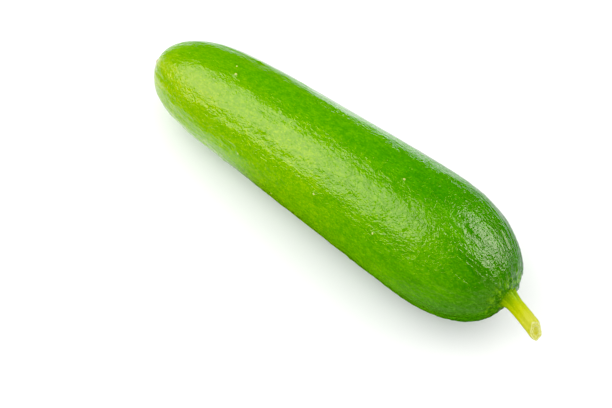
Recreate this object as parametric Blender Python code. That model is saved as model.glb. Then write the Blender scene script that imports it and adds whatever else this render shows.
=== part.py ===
"""Mini cucumber, whole and as picked, lying on its side.

Metres, +Z up. +X runs from the blossom end to the stem end. The origin is the bottom centre
of the whole object's box, on the surface that the cucumber lies on.

Two pieces: the fruit, which grew as one solid, and the stub of stalk left on it.
"""
import math

import bmesh
import bpy
from mathutils import Matrix, Vector

MM = 0.001

# Fruit: length and girth
FRUIT_LENGTH = 128 * MM
BELLY_RADIUS = 18.4 * MM  # the largest radius
BELLY_AT = 0.81  # its place, as a share of the length from the blossom end
TAPER = 0.425  # how fast the radius falls away from the belly, per length
BELLY_BLEND = 0.17  # how softly it starts to fall, as a share of the length

# Fruit: rounded ends, as shares of the length, with the exponent of their superellipse
BLOSSOM_CAP = 0.21
BLOSSOM_ROUNDING = 2.35
STEM_CAP = 0.227
STEM_ROUNDING = 2.15

# Fruit: both ends turn slightly to the same side, -Y
BLOSSOM_TURN = 3.1 * MM
STEM_TURN = 2.8 * MM
TURN_POWER = 3.9

# Fruit: the stem end's shoulder stands further out on one side, low on the -Y side
SHOULDER_LEAN = 0.08  # extra reach along the axis, as a share of the radius
SHOULDER_SPREAD = 0.16  # how far back from the end, as a share of the length
SHOULDER_SIDE = math.radians(208)

# Fruit: three soft lobes, one for each carpel, with a flat between two of them underneath
LOBES = 3
LOBE_HEIGHT = 0.012  # as a share of the radius
TOP = math.radians(90)

# Fruit: shallow flutes that run up the shoulder to the stem
FLUTES = 10
FLUTE_DEPTH = 0.22 * MM
FLUTE_REACH = 16 * MM

# Fruit: the hollow that holds the stem, and the seat at its bottom
HOLLOW_DEPTH = 1.9 * MM
HOLLOW_RADIUS = 5.2 * MM
SEAT_RADIUS = 3.0 * MM

# Fruit: corky blossom scar, a low rim round a dimple
SCAR_RIM_RADIUS = 1.9 * MM
SCAR_RIM_WIDTH = 0.6 * MM
SCAR_RIM_HEIGHT = 0.35 * MM
SCAR_DIMPLE_RADIUS = 0.9 * MM
SCAR_DIMPLE_DEPTH = 0.4 * MM

# How the fruit lies: the stem end rides up, because the belly is nearer to it
REST_PITCH = math.radians(3)
REST_FLAT = 0.16 * MM  # depth of the skin that flattens against the surface

# Stem
STEM_LENGTH = 11.8 * MM  # along its middle, up to the slanted cut
STEM_RADIUS = 2.2 * MM
STEM_GAP = 0.3 * MM  # clearance between the stem's foot and its seat
STEM_FLARE = 0.3  # extra radius at the foot, as a share
STEM_FLARE_REACH = 1.8 * MM
STEM_RIBS = 5
STEM_RIB_HEIGHT = 0.05  # as a share of the radius
STEM_BEND = math.radians(14)  # it leaves the seat squarely, then turns low and to -Y
STEM_BEND_REACH = 2 * MM
STEM_BEND_SIDE = math.radians(225)
CUT_SLANT = math.radians(46)
CUT_SIDE = math.radians(75)  # the way that the slanted cut faces
CUT_CHAMFER = 0.12  # worn edge of the cut, as a share of the radius

# Mesh fineness
FRUIT_SIDES = 60
CAP_RINGS = 15
BODY_RINGS = 20
STEM_SIDES = 30
STEM_RINGS = 13


def girth(along):
    """Radius of the fruit before its ends round off; along is a share of its length."""
    away = BELLY_AT - along
    return BELLY_RADIUS * (1 - TAPER * (math.hypot(away, BELLY_BLEND) - BELLY_BLEND))


def centreline(along):
    """Point on the fruit's centreline, and its direction there."""
    side = 2 * along - 1
    turn = BLOSSOM_TURN if side < 0 else STEM_TURN
    point = Vector((side * FRUIT_LENGTH / 2, -turn * abs(side) ** TURN_POWER, 0))
    slope = -turn * TURN_POWER * abs(side) ** (TURN_POWER - 1) * math.copysign(1, side)
    return point, Vector((FRUIT_LENGTH / 2, slope, 0)).normalized()


def scar_relief(radius):
    """How far the blossom scar stands out of the rounded end."""
    rim = SCAR_RIM_HEIGHT * math.exp(-(((radius - SCAR_RIM_RADIUS) / SCAR_RIM_WIDTH) ** 2))
    return rim - SCAR_DIMPLE_DEPTH * math.exp(-((radius / SCAR_DIMPLE_RADIUS) ** 2))


def hollow_relief(radius):
    """How far the stem's hollow sinks below the rounded end; flat across the seat."""
    return HOLLOW_DEPTH * math.exp(-((max(radius, SEAT_RADIUS) / HOLLOW_RADIUS) ** 2))


def cap_share(fullness, rounding):
    """How much of a cap's length is left outside the ring that has this share of the girth."""
    return 1 - (1 - fullness**rounding) ** (1 / rounding)


def fruit_stations():
    """Rings of the fruit from end to end: (share of the length, radius, shift along the axis)."""
    stations = []
    for ring in range(1, CAP_RINGS + 1):
        fullness = math.sin(math.pi / 2 * ring / CAP_RINGS)
        along = BLOSSOM_CAP * cap_share(fullness, BLOSSOM_ROUNDING)
        radius = girth(along) * fullness
        stations.append((along, radius, -scar_relief(radius)))
    first, last = BLOSSOM_CAP, 1 - STEM_CAP
    for ring in range(1, BODY_RINGS):
        along = first + (last - first) * ring / BODY_RINGS
        stations.append((along, girth(along), 0))
    seat_angle = math.asin(SEAT_RADIUS / girth(1))
    for ring in range(CAP_RINGS + 1):
        angle = math.pi / 2 + (seat_angle - math.pi / 2) * ring / CAP_RINGS
        fullness = math.sin(angle)
        along = 1 - STEM_CAP * cap_share(fullness, STEM_ROUNDING)
        radius = girth(along) * fullness
        stations.append((along, radius, -hollow_relief(radius)))
    return stations


def section_radius(angle, along, radius):
    """Radius of a ring at an angle round it, with the lobes and the shoulder's flutes."""
    lobe = 1 + LOBE_HEIGHT * math.cos(LOBES * (angle - TOP))
    to_stem = (1 - along) * FRUIT_LENGTH
    flute = FLUTE_DEPTH * math.exp(-((to_stem / FLUTE_REACH) ** 2)) * math.cos(FLUTES * angle)
    return radius * lobe + flute


def shoulder_lean(angle, along, radius):
    """How far the leaning shoulder pushes a point of a ring forward."""
    spread = math.exp(-(((1 - along) / SHOULDER_SPREAD) ** 2))
    return SHOULDER_LEAN * spread * radius * math.cos(angle - SHOULDER_SIDE)


def loft(mesh, rings):
    """Skin a row of rings with quads."""
    for here, there in zip(rings, rings[1:]):
        for side in range(len(here)):
            after = (side + 1) % len(here)
            mesh.faces.new((here[side], here[after], there[after], there[side]))


def finish_mesh(mesh, name, sharp_angle):
    """Turn an edited mesh into an object that is smooth except at its real edges."""
    bmesh.ops.recalc_face_normals(mesh, faces=mesh.faces)
    data = bpy.data.meshes.new(name)
    mesh.to_mesh(data)
    mesh.free()
    data.shade_smooth()
    data.set_sharp_from_angle(angle=sharp_angle)
    thing = bpy.data.objects.new(name, data)
    bpy.context.scene.collection.objects.link(thing)
    return thing


def flatten_underside(mesh, placing):
    """Plane off the skin that presses on the surface, and return the height that went."""
    lowest = min((placing @ vertex.co).z for vertex in mesh.verts)
    height = lowest + REST_FLAT
    back = placing.inverted()
    cut = bmesh.ops.bisect_plane(
        mesh,
        geom=[*mesh.verts, *mesh.edges, *mesh.faces],
        dist=1e-7,
        plane_co=back @ Vector((0, 0, height)),
        plane_no=back.to_3x3() @ Vector((0, 0, -1)),
        clear_outer=True,
    )
    edges = [item for item in cut["geom_cut"] if isinstance(item, bmesh.types.BMEdge)]
    bmesh.ops.contextual_create(mesh, geom=edges)
    return height


def make_fruit():
    """The whole fruit; its origin is the middle of its centreline."""
    mesh = bmesh.new()
    rings = []
    for along, radius, shift in fruit_stations():
        point, direction = centreline(along)
        across = Vector((0, 0, 1)).cross(direction)
        ring = []
        for side in range(FRUIT_SIDES):
            angle = 2 * math.pi * side / FRUIT_SIDES
            reach = section_radius(angle, along, radius)
            ahead = shift + shoulder_lean(angle, along, radius)
            spoke = across * math.cos(angle) + Vector((0, 0, 1)) * math.sin(angle)
            ring.append(mesh.verts.new(point + direction * ahead + spoke * reach))
        rings.append(ring)
    loft(mesh, rings)
    point, direction = centreline(0)
    tip = mesh.verts.new(point - direction * scar_relief(0))
    for side in range(FRUIT_SIDES):
        mesh.faces.new((tip, rings[0][(side + 1) % FRUIT_SIDES], rings[0][side]))
    mesh.faces.new(rings[-1])

    placing = Matrix.Rotation(-REST_PITCH, 4, "Y")
    height = flatten_underside(mesh, placing)
    fruit = finish_mesh(mesh, "fruit", math.radians(40))
    fruit.rotation_euler = placing.to_euler()
    fruit.location = (0, 0, -height)
    return fruit


def stem_radius(along):
    """Radius of the stem; along is a distance from its foot."""
    return STEM_RADIUS * (1 + STEM_FLARE * math.exp(-((along / STEM_FLARE_REACH) ** 2)))


def stem_centreline(along):
    """Point on the stem's centreline, and its direction there."""
    turned = 1 - math.exp(-along / STEM_BEND_REACH)
    side = Vector((0, math.cos(STEM_BEND_SIDE), math.sin(STEM_BEND_SIDE))) * math.tan(STEM_BEND)
    point = Vector((along, 0, 0)) + side * (along - STEM_BEND_REACH * turned)
    return point, (Vector((1, 0, 0)) + side * turned).normalized()


def stem_ring(mesh, along, radius, slant):
    """One ribbed ring of the stem, leaning by its share of the cut's slant."""
    point, direction = stem_centreline(along)
    across = Vector((0, 0, 1)).cross(direction).normalized()
    upward = direction.cross(across)
    ring = []
    for side in range(STEM_SIDES):
        angle = 2 * math.pi * side / STEM_SIDES
        reach = radius * (1 + STEM_RIB_HEIGHT * math.cos(STEM_RIBS * (angle - TOP)))
        back = slant * reach * math.cos(angle - CUT_SIDE)
        spoke = across * math.cos(angle) + upward * math.sin(angle)
        ring.append(mesh.verts.new(point - direction * back + spoke * reach))
    return ring


def make_stem():
    """The stub of stalk; its origin is the middle of its foot, and it leaves along +X."""
    mesh = bmesh.new()
    rings = []
    slope = math.tan(CUT_SLANT)
    worn = CUT_CHAMFER * STEM_RADIUS
    for ring in range(STEM_RINGS + 1):
        share = ring / STEM_RINGS
        along = share * (STEM_LENGTH - worn)
        rings.append(stem_ring(mesh, along, stem_radius(along), share**2 * slope))
    rings.append(stem_ring(mesh, STEM_LENGTH, STEM_RADIUS - worn, slope))
    loft(mesh, rings)
    mesh.faces.new(rings[0][::-1])
    mesh.faces.new(rings[-1])
    return finish_mesh(mesh, "stem", math.radians(35))


def material(name, colour, roughness):
    """A Principled finish; nothing on a cucumber is metal."""
    finish = bpy.data.materials.new(name)
    finish.use_nodes = True
    shader = finish.node_tree.nodes["Principled BSDF"]
    shader.inputs["Base Color"].default_value = (*colour, 1)
    shader.inputs["Roughness"].default_value = roughness
    shader.inputs["Metallic"].default_value = 0
    return finish


def seat_stem(stem, fruit):
    """Stand the stem's foot square to the seat in the fruit's hollow, just off it."""
    point, direction = centreline(1)
    across = Vector((0, 0, 1)).cross(direction)
    leaning = across * math.cos(SHOULDER_SIDE) + Vector((0, 0, 1)) * math.sin(SHOULDER_SIDE)
    square = (direction - leaning * SHOULDER_LEAN).normalized()
    stem.parent = fruit
    stem.rotation_mode = "QUATERNION"
    stem.rotation_quaternion = square.to_track_quat("X", "Z")
    stem.location = point - direction * hollow_relief(0) + square * STEM_GAP


def centre_on_origin(things):
    """Slide the whole object so that the middle of its box is over the origin."""
    bpy.context.view_layer.update()
    corners = [thing.matrix_world @ vertex.co for thing in things for vertex in thing.data.vertices]
    middle = [(min(c[i] for c in corners) + max(c[i] for c in corners)) / 2 for i in (0, 1)]
    cucumber = bpy.data.objects.new("cucumber", None)
    bpy.context.scene.collection.objects.link(cucumber)
    cucumber.location = (-middle[0], -middle[1], 0)
    things[0].parent = cucumber
    bpy.context.view_layer.update()


def build():
    """Clear the scene and build the cucumber in it."""
    for thing in list(bpy.data.objects):
        bpy.data.objects.remove(thing, do_unlink=True)
    fruit = make_fruit()
    fruit.data.materials.append(material("cucumber_skin", (0.12, 0.40, 0.01), 0.32))
    stem = make_stem()
    stem.data.materials.append(material("cucumber_stem", (0.50, 0.60, 0.03), 0.5))
    seat_stem(stem, fruit)
    centre_on_origin([fruit, stem])


build()
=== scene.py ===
"""Mini cucumber: the finished skin and stalk, the studio and the camera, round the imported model.

Metres, +Z up. +X runs from the blossom end to the stem end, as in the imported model. The fruit and
the stalk are built again here as fine meshes: the same form, with the skin's relief worked in.
"""
import itertools
import math

import bpy
import numpy as np
from mathutils import Matrix, Vector


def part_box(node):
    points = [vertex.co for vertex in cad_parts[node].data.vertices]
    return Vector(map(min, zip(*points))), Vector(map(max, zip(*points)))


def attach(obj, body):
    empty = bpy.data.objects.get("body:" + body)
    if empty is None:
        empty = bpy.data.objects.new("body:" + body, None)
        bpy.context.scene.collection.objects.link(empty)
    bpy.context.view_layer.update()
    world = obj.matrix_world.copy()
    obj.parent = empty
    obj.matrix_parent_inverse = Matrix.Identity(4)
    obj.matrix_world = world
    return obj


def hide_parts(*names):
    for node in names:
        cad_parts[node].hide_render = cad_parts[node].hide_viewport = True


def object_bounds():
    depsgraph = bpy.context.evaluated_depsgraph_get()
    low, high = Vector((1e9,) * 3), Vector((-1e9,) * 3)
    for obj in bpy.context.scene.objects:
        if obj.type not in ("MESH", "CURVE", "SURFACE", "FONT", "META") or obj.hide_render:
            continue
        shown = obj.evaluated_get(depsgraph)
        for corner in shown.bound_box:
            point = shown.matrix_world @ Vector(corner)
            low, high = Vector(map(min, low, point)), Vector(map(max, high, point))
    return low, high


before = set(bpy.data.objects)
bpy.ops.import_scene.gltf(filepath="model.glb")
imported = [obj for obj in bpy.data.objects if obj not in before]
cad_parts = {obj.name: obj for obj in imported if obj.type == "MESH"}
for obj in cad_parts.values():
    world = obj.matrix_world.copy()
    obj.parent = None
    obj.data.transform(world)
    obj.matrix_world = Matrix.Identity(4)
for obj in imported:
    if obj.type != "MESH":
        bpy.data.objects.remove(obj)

CAD_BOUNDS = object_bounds()

MM = 0.001

# Fruit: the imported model's form
FRUIT_LENGTH = 128 * MM
BELLY_RADIUS = 18.4 * MM
BELLY_AT = 0.81
TAPER = 0.425
BELLY_BLEND = 0.17
BLOSSOM_CAP = 0.21
BLOSSOM_ROUNDING = 2.35
STEM_CAP = 0.227
STEM_ROUNDING = 2.15
BLOSSOM_TURN = 3.1 * MM
STEM_TURN = 2.8 * MM
TURN_POWER = 3.9
SHOULDER_LEAN = 0.08
SHOULDER_SPREAD = 0.16
SHOULDER_SIDE = math.radians(208)
LOBES = 3
LOBE_HEIGHT = 0.012
TOP = math.radians(90)
FLUTES = 10
FLUTE_DEPTH = 0.22 * MM
FLUTE_REACH = 16 * MM
HOLLOW_DEPTH = 1.9 * MM
HOLLOW_RADIUS = 5.2 * MM
SEAT_RADIUS = 3.0 * MM
SCAR_RIM_RADIUS = 1.9 * MM
SCAR_RIM_WIDTH = 0.6 * MM
SCAR_RIM_HEIGHT = 0.35 * MM
SCAR_DIMPLE_RADIUS = 0.9 * MM
SCAR_DIMPLE_DEPTH = 0.4 * MM
REST_PITCH = math.radians(3)

# Stalk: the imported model's form
STEM_LENGTH = 11.8 * MM
STEM_RADIUS = 2.2 * MM
STEM_GAP = 0.3 * MM
STEM_FLARE = 0.3
STEM_FLARE_REACH = 1.8 * MM
STEM_RIBS = 5
STEM_RIB_HEIGHT = 0.05
STEM_BEND = math.radians(14)
STEM_BEND_REACH = 2 * MM
STEM_BEND_SIDE = math.radians(225)
CUT_SLANT = math.radians(46)
CUT_SIDE = math.radians(75)

# Fineness of the finished meshes
FRUIT_SIDES = 300
FRUIT_RINGS = 318
STEM_SIDES = 120
STEM_RINGS = 90
CUT_RINGS = 22
WIDEST_SPACING = 0.54  # of the fruit's rings; only the proportions of these three count
SHOULDER_CLOSER = 0.12
TIP_CLOSER = 0.33
UNDERSIDE = math.radians(-90)  # the seam of the texture map runs along here

# Spine scars that show from above: share of the length, degrees round from +Y over the top, size
SPINE_SCARS = (
    (0.19, 103, 0.8),
    (0.21, 76, 0.9),
    (0.225, 86, 1.2),
    (0.325, 160, 0.9),
    (0.365, 147, 0.7),
    (0.375, 69, 0.8),
    (0.43, 182, 1.0),
    (0.54, 144, 1.1),
    (0.695, 86, 1.1),
    (0.705, 141, 1.0),
    (0.86, 150, 0.7),
    (0.88, 141, 0.8),
)
HIDDEN_SCARS = 22  # more of them round the sides, the underside and the back
HIDDEN_FROM, HIDDEN_TO = 190, 405  # degrees round from +Y over the top
SCAR_SEED = 11

# Skin relief: heights in millimetres
LONG_SWELL_HEIGHT = 0.13
SHORT_SWELL_HEIGHT = 0.15
PLATE_HEIGHT = 0.10
SMALL_PLATE_HEIGHT = 0.11
WAVE_HEIGHT = 0.15
FURROW_HEIGHT = 0.06
PLEAT_HEIGHT = 0.14
KNOB_HEIGHT = 0.28
SPINE_HEIGHT = 0.28
HALO_HEIGHT = 0.07

# Skin relief: where it changes
GRAIN_LENGTH = 128  # the fruit's length and radius in the grain's millimetres
GRAIN_RADIUS = 18
CALM_SIDE = math.radians(32)  # the skin is smoother and furrowed along here
CALM_SPREAD = math.radians(26)
CALMING = 0.66  # share of the crinkles that is lost there
COLLAR_RADIUS = 4.1 * MM  # of the low ring round the stalk
KNOBS_RADIUS = 6.2 * MM
CORK_RADIUS = 2.3 * MM
CORK_RAGGEDNESS = 0.5 * MM
SOFT_CONTACT = 0.05 * MM  # how softly the skin flattens on the surface

# Stalk relief
STEM_SINK = 1.1 * MM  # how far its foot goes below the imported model's, out of sight
FIBRE_HEIGHT = 0.035  # as a share of the radius, like the lumps and the worn edge
LUMP_HEIGHT = 0.03
WORN_EDGE = 0.12
WORN_REACH = 0.35 * MM
FRAY_HEIGHT = 0.16  # on the cut, in millimetres, like the pith and the lip
PITH_RING_HEIGHT = 0.14
PITH_RING_AT = 0.66  # as a share of the cut's radius
PITH_DIMPLE_DEPTH = 0.10
LIP_HEIGHT = 0.18
LIP_AT = 0.9

MAP_MARGIN = 0.01  # left free round the texture map


# ---------------------------------------------------------------- numbers on the skin


def gauss(distance, width):
    """A smooth bump: 1 at no distance, falling away over the width."""
    return np.exp(-((distance / width) ** 2))


def fade(value, low, high):
    """0 below low, 1 above high, with a smooth step between them."""
    share = np.clip((value - low) / (high - low), 0, 1)
    return share * share * (3 - 2 * share)


def noise(points, seed):
    """Gradient noise from about -1 to 1, with lumps about one unit apart; points is (..., 3)."""
    slopes = np.random.default_rng(seed).normal(size=(4096, 3))
    slopes /= np.linalg.norm(slopes, axis=1)[:, None]
    cell = np.floor(points).astype(np.int64)
    inside = points - cell
    ease = inside**3 * (inside * (inside * 6 - 15) + 10)
    total = np.zeros(points.shape[:-1])
    for corner in itertools.product((0, 1), repeat=3):
        x, y, z = np.moveaxis(cell + corner, -1, 0)
        key = (x * 73856093) ^ (y * 19349663) ^ (z * 83492791)
        slope = slopes[(key ^ (key >> 12)) & 4095]
        weight = np.prod(np.where(corner, ease, 1 - ease), axis=-1)
        total += weight * np.sum(slope * (inside - corner), axis=-1)
    return total * 1.6


def layered(points, seed, layers=3):
    """Noise with finer and weaker noise on top of it."""
    total = np.zeros(points.shape[:-1])
    for layer in range(layers):
        total += 0.5**layer * noise(points * 2.03**layer, seed + layer)
    return total


def round_section(first, angle, radius):
    """Noise coordinates that join up round a section: one along it and two across it."""
    return np.stack([first, np.cos(angle) * radius, np.sin(angle) * radius], -1)


def grid_normals(points):
    """Unit outward normals of a (rings, sides, 3) grid whose sides wrap round."""
    around = np.roll(points, -1, axis=1) - np.roll(points, 1, axis=1)
    along = np.gradient(points, axis=0)
    normals = np.cross(around, along)
    return normals / np.maximum(np.linalg.norm(normals, axis=-1, keepdims=True), 1e-12)


# ---------------------------------------------------------------- the fruit's form


def girth(along):
    """Radius of the fruit before its ends round off; along is a share of its length."""
    return BELLY_RADIUS * (1 - TAPER * (np.hypot(BELLY_AT - along, BELLY_BLEND) - BELLY_BLEND))


def centreline(along):
    """Points on the fruit's centreline, and its directions there."""
    side = 2 * np.asarray(along, float) - 1
    turn = np.where(side < 0, BLOSSOM_TURN, STEM_TURN)
    flat = np.zeros_like(side)
    point = np.stack([side * FRUIT_LENGTH / 2, -turn * abs(side) ** TURN_POWER, flat], -1)
    slope = -turn * TURN_POWER * abs(side) ** (TURN_POWER - 1) * np.sign(side)
    direction = np.stack([flat + FRUIT_LENGTH / 2, slope, flat], -1)
    return point, direction / np.linalg.norm(direction, axis=-1, keepdims=True)


def scar_relief(radius):
    """How far the blossom scar stands out of the rounded end."""
    rim = SCAR_RIM_HEIGHT * gauss(radius - SCAR_RIM_RADIUS, SCAR_RIM_WIDTH)
    return rim - SCAR_DIMPLE_DEPTH * gauss(radius, SCAR_DIMPLE_RADIUS)


def hollow_relief(radius):
    """How far the stem's hollow sinks below the rounded end; flat across the seat."""
    return HOLLOW_DEPTH * gauss(np.maximum(radius, SEAT_RADIUS), HOLLOW_RADIUS)


def cap_share(fullness, rounding):
    """How much of a cap's length is left outside the ring that has this share of the girth."""
    return 1 - (1 - fullness**rounding) ** (1 / rounding)


def stations(path):
    """Share of the length, radius and shift along the axis of each ring.

    Path 0 to 1 crosses the blossom end, 1 to 2 the body and 2 to 3 the stem end, to its middle.
    """
    blossom = np.sin(np.pi / 2 * np.clip(path, 0, 1))
    stem = np.sin(np.pi / 2 * np.clip(3 - path, 0, 1))
    body = BLOSSOM_CAP + (1 - STEM_CAP - BLOSSOM_CAP) * (path - 1)
    along = np.where(path < 1, BLOSSOM_CAP * cap_share(blossom, BLOSSOM_ROUNDING), body)
    along = np.where(path > 2, 1 - STEM_CAP * cap_share(stem, STEM_ROUNDING), along)
    radius = girth(along) * blossom * stem
    shift = np.where(path < 1, -scar_relief(radius), 0)
    shift = np.where(path > 2, -hollow_relief(radius), shift)
    return along, radius, shift


def fruit_rings():
    """Stations of the rings, closer together in the scar, the hollow and on the shoulder."""
    path = np.linspace(0, 3, 9001)
    along, radius, shift = stations(path)
    step = np.hypot(np.diff(along * FRUIT_LENGTH + shift), np.diff(radius))
    middle = (radius[1:] + radius[:-1]) / 2
    place = (along[1:] + along[:-1]) / 2
    on_shoulder = fade(place, 0.6, 0.8)
    at_tip = gauss(middle, 6 * MM)
    spacing = WIDEST_SPACING - SHOULDER_CLOSER * on_shoulder - TIP_CLOSER * at_tip
    counted = np.concatenate([[0], np.cumsum(step / spacing)])
    wanted = np.linspace(0, counted[-1], FRUIT_RINGS + 2)[1:-1]
    return stations(np.interp(wanted, counted, path))


def fruit_points(along, radius, shift, angle):
    """Points of the smooth fruit, before it is laid down; the inputs are arrays of one shape."""
    point, direction = centreline(along)
    up = np.zeros_like(point) + (0, 0, 1)
    across = np.cross(up, direction)
    lobe = 1 + LOBE_HEIGHT * np.cos(LOBES * (angle - TOP))
    flute = FLUTE_DEPTH * gauss((1 - along) * FRUIT_LENGTH, FLUTE_REACH) * np.cos(FLUTES * angle)
    flute = flute * fade(radius, 0.3 * SEAT_RADIUS, 1.5 * SEAT_RADIUS)
    reach = radius * lobe + flute
    lean = SHOULDER_LEAN * gauss(1 - along, SHOULDER_SPREAD) * radius * np.cos(angle - SHOULDER_SIDE)
    spoke = across * np.cos(angle)[..., None] + up * np.sin(angle)[..., None]
    return point + direction * (shift + lean)[..., None] + spoke * reach[..., None]


def placing_of_fruit(points):
    """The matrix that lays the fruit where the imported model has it."""
    pitch = Matrix.Rotation(-REST_PITCH, 4, "Y")
    laid = points.reshape(-1, 3) @ np.array(pitch.to_3x3()).T
    low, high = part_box("fruit")
    x = low.x - laid[:, 0].min()
    y = (low.y + high.y - laid[:, 1].min() - laid[:, 1].max()) / 2
    z = high.z - laid[:, 2].max()
    return Matrix.Translation((x, y, z)) @ pitch


def spine_scars():
    """(share of the length, angle, size) of every spine scar on the fruit."""
    scars = [(along, math.radians(turn), size) for along, turn, size in SPINE_SCARS]
    dice = np.random.default_rng(SCAR_SEED)
    for _ in range(HIDDEN_SCARS):
        along = dice.uniform(0.1, 0.9)
        turn = dice.uniform(HIDDEN_FROM, HIDDEN_TO)
        scars.append((along, math.radians(turn), dice.uniform(0.6, 1.1)))
    return scars


def skin_grain(along, angle):
    """Millimetres along and across the skin, as on a straight fruit of even thickness."""
    return round_section(along * GRAIN_LENGTH, angle, GRAIN_RADIUS)


def crinkles(along, angle, grain, flat, warp):
    """The skin's plates, waves and furrows, in millimetres, and the mask of its calmer side."""
    shoulder = fade(along, 0.45, 0.8)
    plates = noise(flat / (1.9, 1.25, 1.25) + 0.5 * warp, 31)
    small = noise(flat / (1.2, 0.85, 0.85) + 0.6 * warp, 32)
    waves = np.abs(noise(grain / (4.2, 1.5, 1.5) + 0.4 * warp, 33))
    calm_side = gauss(angle - CALM_SIDE, CALM_SPREAD)
    furrows = FURROW_HEIGHT * noise(grain / (15, 1.1, 1.1) + 0.3 * warp, 34) * calm_side
    plated = (PLATE_HEIGHT * plates + SMALL_PLATE_HEIGHT * small) * (0.45 + 0.55 * shoulder)
    wavy = WAVE_HEIGHT * waves * (1 - 0.7 * shoulder)
    return (plated + wavy) * (1 - CALMING * calm_side) + furrows, calm_side


def stem_end_relief(along, radius, grain, flat, warp):
    """Pleats, collar and knobs round the stalk, in millimetres, and the masks of that end."""
    to_stem = (1 - along) * FRUIT_LENGTH
    at_stem = fade(along, 0.9, 0.97)
    drawn = layered(grain / (9, 1.3, 1.3), 41, 2)
    pleats = PLEAT_HEIGHT * drawn * fade(to_stem, 38 * MM, 8 * MM) * fade(radius, 6 * MM, 13 * MM)
    uneven = 0.45 + 0.35 * noise(grain / (9, 4, 4), 44)
    collar = at_stem * gauss(radius - COLLAR_RADIUS, 1.3 * MM) * uneven
    neck = at_stem * gauss(np.maximum(radius - 2.4 * MM, 0), 1.0 * MM)
    hug = neck * (0.85 + 0.3 * noise(grain / (9, 2.4, 2.4), 45))
    near = at_stem * gauss(radius - KNOBS_RADIUS, 2.6 * MM)
    knobs = KNOB_HEIGHT * noise(flat / 1.5 + 0.4 * warp, 46) * near
    return pleats + collar + hug + knobs, {"neck": neck, "collar": at_stem * gauss(radius, 7 * MM)}


def spine_masks(points):
    """Masks of the spine scars' tips and of the low halo round each, which the skin also darkens as painted
    shade.
    """
    tips = np.zeros(points.shape[:-1])
    halo = np.zeros(points.shape[:-1])
    for along, angle, size in spine_scars():
        centre = fruit_points(*(np.array(value) for value in (along, girth(along), 0, angle)))
        away = np.linalg.norm(points - centre, axis=-1)
        tips = np.maximum(tips, gauss(away, 0.5 * MM * size))
        halo = np.maximum(halo, gauss(away, 1.5 * MM * size))
    return tips, halo


def skin_relief(along, radius, angle, points):
    """Height of the skin's relief in metres, and the masks that its colour follows."""
    flat = points / MM
    grain = skin_grain(along, angle)
    warp = np.stack([noise(flat / 5, seed) for seed in (21, 22, 23)], -1)
    swell = LONG_SWELL_HEIGHT * noise(grain / (19, 6, 6), 3)
    swell = swell + SHORT_SWELL_HEIGHT * noise(grain / (7, 3.4, 3.4), 5)
    crinkle, calm_side = crinkles(along, angle, grain, flat, warp)
    stem_end, masks = stem_end_relief(along, radius, grain, flat, warp)
    tips, halo = spine_masks(points)
    crust = layered(flat / 0.8, 51, 3)
    ragged = radius - CORK_RADIUS + CORK_RAGGEDNESS * crust
    cork = fade(along, 0.03, 0.0) * gauss(np.maximum(ragged, 0), 0.45 * MM)

    height = (swell + crinkle) * fade(radius, 1 * MM, 9 * MM) + stem_end
    height = height + SPINE_HEIGHT * tips + HALO_HEIGHT * halo + cork * (0.12 + 0.22 * crust)
    masks.update({"cork": cork, "spine": tips, "halo": halo, "calm": calm_side, "along": along})
    return height * MM, masks


def make_fruit():
    """The whole fruit as a fine mesh, with its relief and the attributes its skin reads."""
    sides = UNDERSIDE + 2 * np.pi * np.arange(FRUIT_SIDES) / FRUIT_SIDES
    rings = fruit_rings()
    along, radius, shift = (np.repeat(values[:, None], FRUIT_SIDES, 1) for values in rings)
    angle = np.repeat(sides[None], FRUIT_RINGS, 0)
    smooth = fruit_points(along, radius, shift, angle)
    height, masks = skin_relief(along, radius, angle, smooth)
    points = smooth + grid_normals(smooth) * height[..., None]

    placing = placing_of_fruit(smooth)
    turn = np.array(placing)
    laid = points @ turn[:3, :3].T + turn[:3, 3]
    laid[..., 2] = (laid[..., 2] + np.hypot(laid[..., 2], SOFT_CONTACT)) / 2
    tips = [laid[0].mean(0), laid[-1].mean(0)]
    fruit = grid_object("cucumber_fruit", laid, tips)
    for name, values in masks.items():
        give(fruit, name, values, 1)
    give(fruit, "grain", skin_grain(along, angle), 3)
    return fruit, placing


def grid_map(rings, sides):
    """Texture map of a closed grid: a row for each ring, and a column for each side."""
    rows = (np.arange(rings) + 1) / (rings + 1)
    left = np.arange(sides) / sides
    right = (np.arange(sides) + 1) / sides
    middle = (left + right) / 2
    low, high = rows[:-1, None], rows[1:, None]
    quads = ((low, left), (low, right), (high, right), (high, left))
    front = ((0.0, middle), (rows[0], right), (rows[0], left))
    back = ((1.0, middle), (rows[-1], left), (rows[-1], right))
    maps = []
    for corners in (quads, front, back):
        places = [np.stack(np.broadcast_arrays(row, column), -1) for row, column in corners]
        maps.append(np.stack(places, -2).reshape(-1, 2))
    return np.concatenate(maps)


def grid_object(name, points, tips):
    """An object skinned over a grid of rings and closed by a tip at each end, with a texture map."""
    rings, sides = points.shape[:2]
    vertices = np.concatenate([points.reshape(-1, 3), np.array(tips)])
    side = np.arange(sides)
    after = (side + 1) % sides
    base = np.arange(rings - 1)[:, None] * sides
    quads = np.stack([base + side, base + after, base + after + sides, base + side + sides], -1)
    first = rings * sides
    last_ring = (rings - 1) * sides
    front = np.stack([np.full(sides, first), after, side], -1)
    back = np.stack([np.full(sides, first + 1), last_ring + side, last_ring + after], -1)
    faces = quads.reshape(-1, 4).tolist() + front.tolist() + back.tolist()
    data = bpy.data.meshes.new(name)
    data.from_pydata(vertices.tolist(), [], faces)
    data.shade_smooth()

    layer = data.uv_layers.new(name="OFBake")
    placed = MAP_MARGIN + (1 - 2 * MAP_MARGIN) * grid_map(rings, sides)
    layer.data.foreach_set("uv", placed.astype(np.float32).ravel())
    thing = bpy.data.objects.new(name, data)
    bpy.context.scene.collection.objects.link(thing)
    return thing


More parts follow.
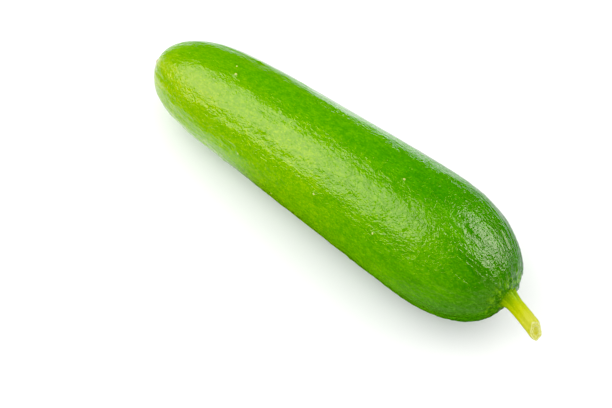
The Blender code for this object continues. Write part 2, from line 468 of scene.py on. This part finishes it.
def give(thing, name, values, width):
    """Store one number or vector for each vertex of a grid; the two tips take their ring's mean."""
    kind = "FLOAT" if width == 1 else "FLOAT_VECTOR"
    grid = values.reshape(values.shape[0], values.shape[1], width)
    tips = [grid[0].mean(0), grid[-1].mean(0)]
    flat = np.concatenate([grid.reshape(-1, width), np.array(tips)])
    attribute = thing.data.attributes.new(name, kind, "POINT")
    field = "value" if width == 1 else "vector"
    attribute.data.foreach_set(field, flat.astype(np.float32).ravel())


# ---------------------------------------------------------------- the stalk's form


def stem_placing(placing):
    """The matrix that stands the stalk's foot square to its seat in the laid fruit."""
    point, direction = (Vector(values) for values in centreline(1))
    across = Vector((0, 0, 1)).cross(direction)
    leaning = across * math.cos(SHOULDER_SIDE) + Vector((0, 0, 1)) * math.sin(SHOULDER_SIDE)
    square = (direction - leaning * SHOULDER_LEAN).normalized()
    foot = point - direction * float(hollow_relief(0)) + square * STEM_GAP
    return placing @ Matrix.Translation(foot) @ square.to_track_quat("X", "Z").to_matrix().to_4x4()


def stem_centreline(along):
    """Points on the stalk's centreline and its directions; along is a distance from its foot."""
    turned = 1 - np.exp(-np.maximum(along, 0) / STEM_BEND_REACH)
    side = np.array([0, math.cos(STEM_BEND_SIDE), math.sin(STEM_BEND_SIDE)]) * math.tan(STEM_BEND)
    forward = np.array([1.0, 0, 0])
    point = along[..., None] * forward + (along - STEM_BEND_REACH * turned)[..., None] * side
    direction = forward + turned[..., None] * side
    return point, direction / np.linalg.norm(direction, axis=-1, keepdims=True)


def make_stem(placing):
    """The stub of stalk: ribbed, flared into its seat, with a slanted fibrous cut."""
    share = np.linspace(0, 1, STEM_RINGS)
    side_along = -STEM_SINK + (STEM_LENGTH + STEM_SINK) * share
    inward = np.linspace(0, 1, CUT_RINGS + 1)[1:-1]
    along = np.concatenate([side_along, np.full(len(inward), STEM_LENGTH)])
    rim = np.concatenate([np.ones(STEM_RINGS), 1 - inward])
    rings = len(along)
    angle = UNDERSIDE + 2 * np.pi * np.arange(STEM_SIDES) / STEM_SIDES
    along, rim = (np.repeat(values[:, None], STEM_SIDES, 1) for values in (along, rim))
    angle = np.repeat(angle[None], rings, 0)

    point, direction = stem_centreline(along)
    up = np.zeros_like(point) + (0, 0, 1)
    across = np.cross(up, direction)
    across /= np.linalg.norm(across, axis=-1, keepdims=True)
    upward = np.cross(direction, across)
    spoke = across * np.cos(angle)[..., None] + upward * np.sin(angle)[..., None]

    away = np.maximum(along, 0) / MM
    ribs = STEM_RIB_HEIGHT * np.cos(STEM_RIBS * (angle - TOP))
    thread = round_section(away / 5, angle, 3.4)
    fibre = FIBRE_HEIGHT * layered(thread, 61, 3)
    lumps = LUMP_HEIGHT * noise(round_section(away / 1.6, angle, 1.6), 64)
    flare = STEM_FLARE * gauss(away, STEM_FLARE_REACH / MM)
    worn = 1 - WORN_EDGE * gauss(STEM_LENGTH - along, WORN_REACH)
    reach = STEM_RADIUS * (1 + flare) * (1 + ribs + fibre + lumps) * worn * rim
    slant = np.clip(along / STEM_LENGTH, 0, 1) ** 2 * math.tan(CUT_SLANT)
    back = slant * reach * np.cos(angle - CUT_SIDE)

    flat = np.stack([np.cos(angle) * reach / MM, np.sin(angle) * reach / MM, 0 * reach], -1)
    on_cut = along >= STEM_LENGTH
    frayed = FRAY_HEIGHT * layered(flat / 0.45, 71, 3) * fade(rim, 1.0, 0.9)
    pith = PITH_RING_HEIGHT * gauss(rim - PITH_RING_AT, 0.13) - PITH_DIMPLE_DEPTH * gauss(rim, 0.3)
    notches = noise(np.stack([np.cos(angle) * 2.6, np.sin(angle) * 2.6, 0 * angle], -1), 75)
    lip = LIP_HEIGHT * gauss(rim - LIP_AT, 0.07) * notches
    proud = np.where(on_cut, frayed + pith + lip, 0) * MM
    points = point + direction * (proud - back)[..., None] + spoke * reach[..., None]

    turn = np.array(placing)
    laid = points @ turn[:3, :3].T + turn[:3, 3]
    tips = [laid[0].mean(0), laid[-1].mean(0)]
    stem = grid_object("cucumber_stalk", laid, tips)
    give(stem, "away", along / STEM_LENGTH, 1)
    give(stem, "cut", np.where(on_cut, 1 - rim, 0), 1)
    give(stem, "thread", thread, 3)
    give(stem, "across", flat, 3)
    return stem


# ---------------------------------------------------------------- finishes

CREASE_DEPTH = 0.05 * MM
WRINKLE_DEPTH = 0.18 * MM
PORE_DEPTH = 0.003 * MM
LINE_DEPTH = 0.12 * MM
GRAIN_DEPTH = 0.1 * MM
WAX_ROUGHNESS = (0.05, 0.08)
CORK_ROUGHNESS = 0.85
STALK_ROUGHNESS = (0.52, 0.38)


class Finish:
    """Short words for one material's nodes. A value may be a number, a tuple or a socket."""

    def __init__(self, name):
        self.material = bpy.data.materials.new(name)
        self.material.use_nodes = True
        self.tree = self.material.node_tree
        self.shader = self.tree.nodes["Principled BSDF"]

    def feed(self, socket, value):
        if isinstance(value, bpy.types.NodeSocket):
            self.tree.links.new(value, socket)
        elif isinstance(value, tuple) and len(value) == 3 and socket.type == "RGBA":
            socket.default_value = (*value, 1)
        else:
            socket.default_value = value

    def add(self, kind, inputs=(), **settings):
        node = self.tree.nodes.new("ShaderNode" + kind)
        for name, value in settings.items():
            setattr(node, name, value)
        for name, value in dict(inputs).items():
            self.feed(node.inputs[name], value)
        return node

    def attribute(self, name, output="Fac"):
        return self.add("Attribute", attribute_name=name).outputs[output]

    def math(self, operation, first, second=0.0):
        node = self.add("Math", operation=operation)
        self.feed(node.inputs[0], first)
        self.feed(node.inputs[1], second)
        return node.outputs[0]

    def product(self, *values):
        result = values[0]
        for value in values[1:]:
            result = self.math("MULTIPLY", result, value)
        return result

    def millimetres(self):
        """The object's own coordinates in millimetres."""
        return self.scaled(self.add("TexCoord").outputs["Object"], (1 / MM, 1 / MM, 1 / MM))

    def scaled(self, vector, factors):
        node = self.add("VectorMath", operation="MULTIPLY")
        self.feed(node.inputs[0], vector)
        self.feed(node.inputs[1], factors)
        return node.outputs[0]

    def noise(self, vector, scale, detail=3.0, roughness=0.5, distortion=0.0):
        inputs = {"Vector": vector, "Scale": scale, "Detail": detail}
        inputs.update({"Roughness": roughness, "Distortion": distortion})
        return self.add("TexNoise", inputs).outputs["Fac"]

    def spread(self, value, low, high, to_low=0.0, to_high=1.0):
        inputs = {"Value": value, "From Min": low, "From Max": high}
        inputs.update({"To Min": to_low, "To Max": to_high})
        return self.add("MapRange", inputs, interpolation_type="SMOOTHSTEP").outputs["Result"]

    def ramp(self, value, stops):
        node = self.add("ValToRGB", {"Fac": value})
        elements = node.color_ramp.elements
        while len(elements) < len(stops):
            elements.new(0.5)
        for element, (position, colour) in zip(elements, stops):
            element.position = position
            element.color = (*colour, 1)
        return node.outputs["Color"]

    def mix(self, share, first, second, blend="MIX"):
        node = self.add("Mix", data_type="RGBA", blend_type=blend)
        self.feed(node.inputs[0], share)
        self.feed(node.inputs[6], first)
        self.feed(node.inputs[7], second)
        return node.outputs[2]

    def mix_number(self, share, first, second):
        node = self.add("Mix", data_type="FLOAT")
        self.feed(node.inputs[0], share)
        self.feed(node.inputs[2], first)
        self.feed(node.inputs[3], second)
        return node.outputs[0]

    def bump(self, height, distance, under=None):
        inputs = {"Height": height, "Strength": 1.0, "Distance": distance}
        if under is not None:
            inputs["Normal"] = under
        return self.add("Bump", inputs).outputs["Normal"]


# Share of the length from the blossom end, and the skin's green there
SKIN_GREENS = (
    (0.0, (0.160, 0.400, 0.015)),
    (0.10, (0.100, 0.330, 0.0005)),
    (0.30, (0.076, 0.310, 0.0005)),
    (0.50, (0.068, 0.298, 0.0005)),
    (0.62, (0.048, 0.266, 0.0005)),
    (0.72, (0.044, 0.262, 0.0005)),
    (0.81, (0.032, 0.231, 0.001)),
    (0.86, (0.022, 0.194, 0.001)),
    (0.92, (0.014, 0.160, 0.002)),
    (1.0, (0.018, 0.145, 0.012)),
)
# Factors that turn a green into its lit-side form, a lighter and yellower green that is painted light, and
# into its pale and deep forms
LIT_SIDE_TINT = (1.95, 1.16, 1.5)
PALE = (1.95, 1.30, 2.4)
DEEP = (0.52, 0.77, 0.7)
LIT_SIDE = (0, -0.05, 0.02)  # painted light: lighter on the -Y side, a little above level; per millimetre of the grain
# Painted glints: pale flecks on the lit side of the stem half
GLINT_FLECK_COLOUR = (0.12, 0.35, 0.035)
COLLAR_COLOUR = (0.13, 0.32, 0.02)
ROOT_COLOURS = ((0.07, 0.24, 0.002), (0.17, 0.33, 0.006))
SPINE_COLOUR = (0.60, 0.62, 0.22)
CORK_COLOURS = (
    (0.3, (0.24, 0.17, 0.05)),
    (0.52, (0.48, 0.40, 0.17)),
    (0.7, (0.66, 0.60, 0.34)),
)


def base_green(skin, along, grain):
    """The green that changes along the fruit, made lighter and yellower on the -Y side as painted light,
    and how much of that painted light each place has.
    """
    patches = skin.noise(skin.scaled(grain, (0.05, 0.12, 0.12)), 1.0, 3.0, 0.55)
    shifted = skin.math("ADD", along, skin.spread(patches, 0.3, 0.7, -0.07, 0.07))
    green = skin.ramp(shifted, SKIN_GREENS)
    # Painted light: the -Y side, a little above level, is made lighter and yellower
    facing = skin.add("VectorMath", {0: grain, 1: LIT_SIDE}, operation="DOT_PRODUCT")
    lit_side = skin.spread(facing.outputs["Value"], 0.1, 0.9, 0.0, 0.85)
    return skin.mix(lit_side, green, skin.mix(1.0, green, LIT_SIDE_TINT, "MULTIPLY")), lit_side


def mottled(skin, green, along, grain, place):
    """The green with its streaks, specks and mottling, and its deep form."""
    streaks = skin.noise(skin.scaled(grain, (0.16, 1.5, 1.5)), 1.0, 5.0, 0.62)
    pale = skin.mix(1.0, green, PALE, "MULTIPLY")
    green = skin.mix(skin.spread(streaks, 0.52, 0.74, 0.0, 0.45), green, pale)
    deep = skin.mix(1.0, green, DEEP, "MULTIPLY")
    green = skin.mix(skin.spread(streaks, 0.50, 0.30, 0.0, 0.35), green, deep)

    lively = skin.spread(along, 0.02, 0.5, 0.5, 1.0)
    specks = skin.noise(skin.scaled(place, (1.5, 2.2, 2.2)), 1.0, 2.0, 0.5)
    mottle = skin.noise(skin.scaled(place, (0.5, 0.8, 0.8)), 1.0, 4.0, 0.65)
    for lumps, start, full, share, tint in (
        (specks, 0.55, 0.66, 0.85, pale),
        (specks, 0.45, 0.34, 0.5, deep),
        (mottle, 0.51, 0.66, 0.5, pale),
        (mottle, 0.49, 0.34, 0.5, deep),
    ):
        amount = skin.product(skin.spread(lumps, start, full, 0.0, share), lively)
        green = skin.mix(amount, green, tint)
    return green, deep


def glint_flecked(skin, green, along, lit_side, place):
    """The green with pale flecks painted on as glints off the crinkled skin, on the lit -Y side of its stem
    half.
    """
    glint_flecks = skin.noise(skin.scaled(place, (0.9, 1.7, 1.7)), 1.0, 2.0, 0.5, 1.0)
    glint_flecks = skin.product(skin.spread(glint_flecks, 0.58, 0.70, 0.0, 0.55), skin.spread(along, 0.5, 0.75), lit_side)
    return skin.mix(glint_flecks, green, GLINT_FLECK_COLOUR)


def collared(skin, green, deep, grain, place):
    """The green with the uneven yellower collar round the stalk, darker patches painted as shade in its
    dents, and the skin that climbs it.
    """
    collar = skin.attribute("collar")
    radial = skin.noise(skin.scaled(grain, (0.5, 0.4, 0.4)), 1.0, 3.0, 0.6)
    radial = skin.mix_number(0.6, radial, skin.noise(place, 0.75, 4.0, 0.6))
    near_stem = skin.product(skin.spread(collar, 0.12, 0.5), skin.spread(radial, 0.47, 0.60))
    green = skin.mix(near_stem, green, COLLAR_COLOUR)
    # Painted shade: darker patches where the skin dents round the collar
    dent_shade = skin.product(skin.spread(collar, 0.25, 0.6), skin.spread(radial, 0.47, 0.40))
    green = skin.mix(dent_shade, green, deep)
    root = skin.spread(skin.attribute("neck"), 0.25, 0.85, 0.0, 0.9)
    return skin.mix(root, green, skin.mix(radial, *ROOT_COLOURS))


def scarred(skin, green, deep, cork, place):
    """The green with its spine dots, the painted shade in a ring round each, and the tan blossom scar."""
    # Painted shade: a darker ring round each spine scar
    green = skin.mix(skin.spread(skin.attribute("halo"), 0.1, 0.9, 0.0, 0.35), green, deep)
    green = skin.mix(skin.spread(skin.attribute("spine"), 0.45, 0.85, 0.0, 0.9), green, SPINE_COLOUR)
    corky = skin.ramp(skin.noise(place, 1.3, 4.0, 0.6), CORK_COLOURS)
    return skin.mix(skin.spread(cork, 0.25, 0.6), green, corky)


def skin_normal(skin, fine, along, place):
    """Creases and fine wrinkles, weaker on the calm side and the blossom half, and pores."""
    pores = skin.noise(place, 5.0, 2.0, 0.5)
    wander = skin.add("TexNoise", {"Vector": place, "Scale": 0.9, "Detail": 2.0}).outputs["Color"]
    drawn = skin.scaled(place, (0.75, 1.0, 1.0))
    bent = skin.add("VectorMath", {0: drawn, 1: wander}, operation="ADD").outputs[0]
    cells = skin.add("TexVoronoi", {"Vector": bent, "Scale": 1.05}, feature="DISTANCE_TO_EDGE")
    creases = skin.spread(cells.outputs["Distance"], 0.0, 0.28)
    calmer = skin.spread(skin.attribute("calm"), 0.3, 0.9, 1.0, 0.5)
    leather = skin.product(skin.spread(along, 0.45, 0.8, 0.72, 1.0), calmer)
    normal = skin.bump(skin.product(creases, leather), CREASE_DEPTH)
    normal = skin.bump(skin.product(fine, leather), WRINKLE_DEPTH, normal)
    return skin.bump(pores, PORE_DEPTH, normal)


def skin_finish():
    """Waxy skin: yellow-green at the blossom end, deeper at the stem end, streaked and speckled."""
    skin = Finish("cucumber_skin_finish")
    along = skin.attribute("along")
    grain = skin.attribute("grain", "Vector")
    cork = skin.attribute("cork")
    place = skin.millimetres()

    green, lit_side = base_green(skin, along, grain)
    green, deep = mottled(skin, green, along, grain, place)
    green = glint_flecked(skin, green, along, lit_side, place)
    green = collared(skin, green, deep, grain, place)
    green = scarred(skin, green, deep, cork, place)
    fine = skin.noise(skin.scaled(place, (1.2, 1.7, 1.7)), 1.0, 1.0, 0.5, 0.6)
    waxy = skin.spread(fine, 0.3, 0.7, *WAX_ROUGHNESS)
    rough = skin.mix_number(skin.spread(cork, 0.2, 0.6), waxy, CORK_ROUGHNESS)

    skin.feed(skin.shader.inputs["Base Color"], green)
    skin.feed(skin.shader.inputs["Roughness"], rough)
    skin.feed(skin.shader.inputs["Normal"], skin_normal(skin, fine, along, place))
    skin.feed(skin.shader.inputs["IOR"], 1.5)
    skin.feed(skin.shader.inputs["Specular Tint"], (1.0, 0.95, 0.9))
    return skin.material


# Share of the length from the stalk's foot, and its colour there
STALK_COLOURS = (
    (0.0, (0.10, 0.27, 0.003)),
    (0.05, (0.137, 0.296, 0.003)),
    (0.12, (0.19, 0.343, 0.002)),
    (0.20, (0.23, 0.375, 0.002)),
    (0.27, (0.295, 0.41, 0.001)),
    (0.40, (0.363, 0.444, 0.002)),
    (0.55, (0.415, 0.46, 0.006)),
    (0.70, (0.45, 0.473, 0.03)),
    (1.0, (0.465, 0.475, 0.04)),
)
STALK_LIGHT = (0.66, 0.72, 0.14)
STALK_DARK = (0.72, 0.80, 0.6)
FLESH_COLOURS = (
    (0.30, (0.36, 0.22, 0.01)),
    (0.42, (0.45, 0.44, 0.02)),
    (0.60, (0.52, 0.53, 0.10)),
)
PALE_FLESH = (0.80, 0.84, 0.52)
# Share of the way in from the cut's rim, and how pale the flesh is there: under the bark and at the pith
PALE_RINGS = (
    (0.0, (0.0, 0.0, 0.0)),
    (0.05, (0.9, 0.9, 0.9)),
    (0.16, (0.1, 0.1, 0.1)),
    (0.34, (0.0, 0.0, 0.0)),
    (0.44, (0.55, 0.55, 0.55)),
    (0.54, (0.0, 0.0, 0.0)),
)


def cut_flesh(stalk, cut):
    """The fibrous flesh of the cut, pale just inside its rim and round the pith."""
    fibres = stalk.noise(stalk.attribute("across", "Vector"), 2.4, 4.0, 0.65)
    ringed = stalk.math("ADD", cut, stalk.spread(fibres, 0.3, 0.7, -0.16, 0.16))
    flesh = stalk.ramp(fibres, FLESH_COLOURS)
    return stalk.mix(stalk.ramp(ringed, PALE_RINGS), flesh, PALE_FLESH)


def stem_finish():
    """Ribbed stalk: green at its foot, yellow towards the pale fibrous cut."""
    stalk = Finish("cucumber_stalk_finish")
    away = stalk.attribute("away")
    cut = stalk.attribute("cut")
    thread = stalk.attribute("thread", "Vector")

    wander = stalk.noise(thread, 0.8, 3.0)
    shifted = stalk.math("ADD", away, stalk.spread(wander, 0.3, 0.7, -0.08, 0.08))
    colour = stalk.ramp(shifted, STALK_COLOURS)
    light = stalk.mix(0.3, colour, STALK_LIGHT)
    dark = stalk.mix(1.0, colour, STALK_DARK, "MULTIPLY")
    lines = stalk.noise(stalk.scaled(thread, (0.5, 1.6, 1.6)), 1.0, 4.0, 0.6)
    colour = stalk.mix(stalk.spread(lines, 0.5, 0.7, 0.0, 0.7), colour, light)
    colour = stalk.mix(stalk.spread(lines, 0.5, 0.3, 0.0, 0.6), colour, dark)
    grains = stalk.noise(stalk.millimetres(), 2.2, 3.0, 0.6)
    colour = stalk.mix(stalk.spread(grains, 0.56, 0.70, 0.0, 0.6), colour, light)
    colour = stalk.mix(stalk.spread(grains, 0.44, 0.32, 0.0, 0.6), colour, dark)
    colour = stalk.mix(stalk.spread(cut, 0.0, 0.04), colour, cut_flesh(stalk, cut))
    normal = stalk.bump(lines, LINE_DEPTH)
    normal = stalk.bump(grains, GRAIN_DEPTH, normal)

    stalk.feed(stalk.shader.inputs["Base Color"], colour)
    stalk.feed(stalk.shader.inputs["Roughness"], stalk.spread(lines, 0.3, 0.7, *STALK_ROUGHNESS))
    stalk.feed(stalk.shader.inputs["Normal"], normal)
    stalk.feed(stalk.shader.inputs["Specular IOR Level"], 0.22)
    stalk.feed(stalk.shader.inputs["Specular Tint"], (1.0, 1.0, 0.5))
    stalk.feed(stalk.shader.inputs["Subsurface Weight"], 0.15)
    stalk.feed(stalk.shader.inputs["Subsurface Radius"], (0.002, 0.002, 0.0008))
    stalk.feed(stalk.shader.inputs["Subsurface Scale"], 1.0)
    return stalk.material


# ---------------------------------------------------------------- studio and camera

SOFTBOX_DISTANCE = 0.7
# Name, azimuth, elevation, width and height in metres, brightness and colour of each softbox
GLOSS_LIGHTS = (
    ("gloss_left", -57, 44, (0.87, 0.87), 5.0, (1, 0.83, 0.64)),
    ("gloss_left_core", -57, 44, (0.50, 0.50), 3.6, (1, 0.86, 0.78)),
    ("gloss_behind", 140, 36, (0.84, 0.80), 4.9, (1.0, 0.95, 0.76)),
    ("gloss_behind_core", 140, 37, (0.52, 0.46), 3.6, (1.0, 0.95, 0.80)),
)
FILL_LIGHTS = (
    ("fill_left", -60, 50, (0.6, 0.6), 1.5, (1, 1, 1)),
    ("fill_behind", 150, 50, (0.6, 0.6), 0.8, (1, 1, 1)),
)
ROOM_BRIGHTNESS = 1.22
FLOOR_REACH = 4.0
FLOOR_CELLS = 8
GLOWING_CARD_BRIGHTNESS = 3.2
LINE_HALF_LENGTH = 0.055  # half the length of the line that the floor's glowing cards are measured from
CAMERA_AZIMUTH = 38.9
CAMERA_ELEVATION = 61.3
CAMERA_DISTANCE = 0.4795
CAMERA_LENS = 100
AIM_TURN = math.radians(1.42)  # from the object's centre to the picture's
AIM_DIP = math.radians(0.90)
# Points of the curve that takes the last of the blue out of the greens, as in the photo
BLUE_CURVE = ((0.03, 0.004), (0.08, 0.055), (0.2, 0.19))


def direction_to(azimuth, elevation):
    """Unit vector from the object; azimuth 0 is -Y and 90 is +X, in degrees."""
    turn, rise = math.radians(azimuth), math.radians(elevation)
    level = math.cos(rise)
    return Vector((math.sin(turn) * level, -math.cos(turn) * level, math.sin(rise)))


def softbox(name, azimuth, elevation, size, radiance, colour):
    """An oval softbox that faces the object; radiance is its face's brightness."""
    lamp = bpy.data.lights.new(name, "AREA")
    lamp.shape = "ELLIPSE"
    lamp.size, lamp.size_y = size
    face = size[0] * size[1] * math.pi / 4
    lamp.energy = radiance * math.pi * face
    lamp.color = colour
    box = bpy.data.objects.new(name, lamp)
    towards = direction_to(azimuth, elevation)
    box.location = OBJECT_CENTRE + towards * SOFTBOX_DISTANCE
    box.rotation_mode = "QUATERNION"
    box.rotation_quaternion = towards.to_track_quat("Z", "Y")
    box.visible_camera = False
    bpy.context.scene.collection.objects.link(box)
    return box


def make_lights():
    """Two softboxes with brighter cores, which only gloss sees, and two fills, which it doesn't."""
    for name, azimuth, elevation, size, radiance, colour in GLOSS_LIGHTS:
        softbox(name, azimuth, elevation, size, radiance, colour).visible_diffuse = False
    for name, azimuth, elevation, size, radiance, colour in FILL_LIGHTS:
        softbox(name, azimuth, elevation, size, radiance, colour).visible_glossy = False


def make_world():
    """A white room that lights evenly; in gloss it is dark, with a faint band round the horizon."""
    world = bpy.data.worlds.new("studio")
    bpy.context.scene.world = world
    world.use_nodes = True
    world.cycles.sampling_method = "NONE"
    tree = world.node_tree
    background = tree.nodes["Background"]
    rays = tree.nodes.new("ShaderNodeLightPath")
    place = tree.nodes.new("ShaderNodeTexCoord")
    split = tree.nodes.new("ShaderNodeSeparateXYZ")
    tree.links.new(place.outputs["Generated"], split.inputs[0])
    height = tree.nodes.new("ShaderNodeMath")
    height.operation = "ABSOLUTE"
    tree.links.new(split.outputs["Z"], height.inputs[0])
    band = tree.nodes.new("ShaderNodeMapRange")
    band.interpolation_type = "SMOOTHSTEP"
    limits = {"From Min": 0.05, "From Max": 0.15, "To Min": 0.08, "To Max": 0.01}
    for name, value in limits.items():
        band.inputs[name].default_value = value
    tree.links.new(height.outputs[0], band.inputs["Value"])
    choice = tree.nodes.new("ShaderNodeMix")
    choice.inputs[2].default_value = ROOM_BRIGHTNESS
    tree.links.new(rays.outputs["Is Glossy Ray"], choice.inputs[0])
    tree.links.new(band.outputs["Result"], choice.inputs[3])
    tree.links.new(choice.outputs[0], background.inputs["Strength"])
    background.inputs["Color"].default_value = (1, 1, 1, 1)


def glowing_floor_cards(paint):
    """Brightness of the glowing cards painted on the floor; they show only in gloss, where they light the
    fruit's edges.

    Their limits are metres in X and Y, or metres away from the line under the fruit's middle.
    """
    split = paint.add("SeparateXYZ", {"Vector": paint.add("TexCoord").outputs["Object"]})
    x, y = split.outputs["X"], split.outputs["Y"]
    beyond = paint.math("MAXIMUM", paint.math("SUBTRACT", paint.math("ABSOLUTE", x), LINE_HALF_LENGTH))
    squared = paint.math("ADD", paint.math("POWER", beyond, 2.0), paint.math("POWER", y, 2.0))
    away = paint.math("SQRT", squared)

    # Two strips give the two lines of light along the far edge: one at the outline, one inside it
    widened = paint.spread(x, -0.062, -0.085, 0.0, 0.006)
    edge = paint.spread(paint.math("SUBTRACT", away, widened), 0.045, 0.051, 0.38, 0.08)
    starts = paint.spread(away, 0.053, 0.056, 0.0, 1.3)
    ends = paint.spread(away, 0.061, 0.065, 1.0, 0.0)
    second = paint.product(starts, ends, paint.spread(x, -0.052, -0.034))
    reach = paint.spread(away, 0.085, 0.095, 1.0, 0.0)
    weaker = paint.spread(x, -0.02, 0.025, 1.0, 0.6)
    outer = paint.product(paint.math("MAXIMUM", edge, second), reach, weaker)
    # A glowing band close to the fruit, and the side and end that all of these glowing cards lie on
    inner = paint.spread(away, 0.020, 0.026, 0.3, 0.0)
    behind = paint.spread(y, -0.005, 0.015)
    blossom = paint.spread(x, -0.02, -0.05)
    round_back = paint.product(paint.math("MAXIMUM", outer, inner), paint.math("MAXIMUM", behind, blossom))
    # A faint glowing card in front of the stem end
    front_side = paint.product(paint.spread(y, -0.01, -0.025), paint.spread(x, 0.0, 0.04))
    front = paint.product(front_side, paint.spread(away, 0.018, 0.03, 0.0, 0.16))
    return paint.math("MAXIMUM", round_back, front)


def make_floor():
    """A plain white surface with no edge in sight; in gloss it is dark, with glowing cards painted on it.
    """
    data = bpy.data.meshes.new("studio_floor")
    places = [FLOOR_REACH * (2 * step / FLOOR_CELLS - 1) for step in range(FLOOR_CELLS + 1)]
    corners = [(x, y, 0) for y in places for x in places]
    row = FLOOR_CELLS + 1
    faces = []
    for y in range(FLOOR_CELLS):
        for x in range(FLOOR_CELLS):
            start = y * row + x
            faces.append((start, start + 1, start + 1 + row, start + row))
    data.from_pydata(corners, [], faces)
    floor = bpy.data.objects.new("studio_floor", data)
    bpy.context.scene.collection.objects.link(floor)
    paint = Finish("studio_floor_paint")
    gloss = paint.add("LightPath").outputs["Is Glossy Ray"]
    paint.feed(paint.shader.inputs["Base Color"], paint.mix_number(gloss, 0.93, 0.02))
    paint.feed(paint.shader.inputs["Emission Color"], (1, 1, 1))
    # Painted glow: the cards emit light that only gloss sees
    strength = paint.product(glowing_floor_cards(paint), gloss, GLOWING_CARD_BRIGHTNESS)
    paint.feed(paint.shader.inputs["Emission Strength"], strength)
    paint.feed(paint.shader.inputs["Roughness"], 0.4)
    paint.feed(paint.shader.inputs["Specular IOR Level"], 0.0)
    floor.data.materials.append(paint.material)


def make_camera():
    """A long lens that looks down on the cucumber, which lies right of and above the middle."""
    lens = bpy.data.cameras.new("camera")
    lens.lens = CAMERA_LENS
    lens.sensor_width = 36
    lens.clip_start, lens.clip_end = 0.02, 20
    camera = bpy.data.objects.new("camera", lens)
    towards = direction_to(CAMERA_AZIMUTH, CAMERA_ELEVATION)
    look = (-towards).to_track_quat("-Z", "Y").to_matrix()
    look = look @ Matrix.Rotation(AIM_TURN, 3, "Y") @ Matrix.Rotation(-AIM_DIP, 3, "X")
    camera.matrix_world = Matrix.Translation(OBJECT_CENTRE + towards * CAMERA_DISTANCE) @ look.to_4x4()
    bpy.context.scene.collection.objects.link(camera)
    bpy.context.scene.camera = camera


def set_look():
    """Plain colours, with the blue curve laid over them."""
    view = bpy.context.scene.view_settings
    view.view_transform = "Standard"
    view.use_curve_mapping = True
    for point in BLUE_CURVE:
        view.curve_mapping.curves[2].points.new(*point)
    view.curve_mapping.update()


OBJECT_CENTRE = (CAD_BOUNDS[0] + CAD_BOUNDS[1]) / 2

fruit, fruit_placing = make_fruit()
fruit.data.materials.append(skin_finish())
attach(fruit, "root")
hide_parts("fruit")

stem = make_stem(stem_placing(fruit_placing))
stem.data.materials.append(stem_finish())
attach(stem, "root")
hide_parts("stem")

make_world()
make_floor()
make_lights()
make_camera()
set_look()
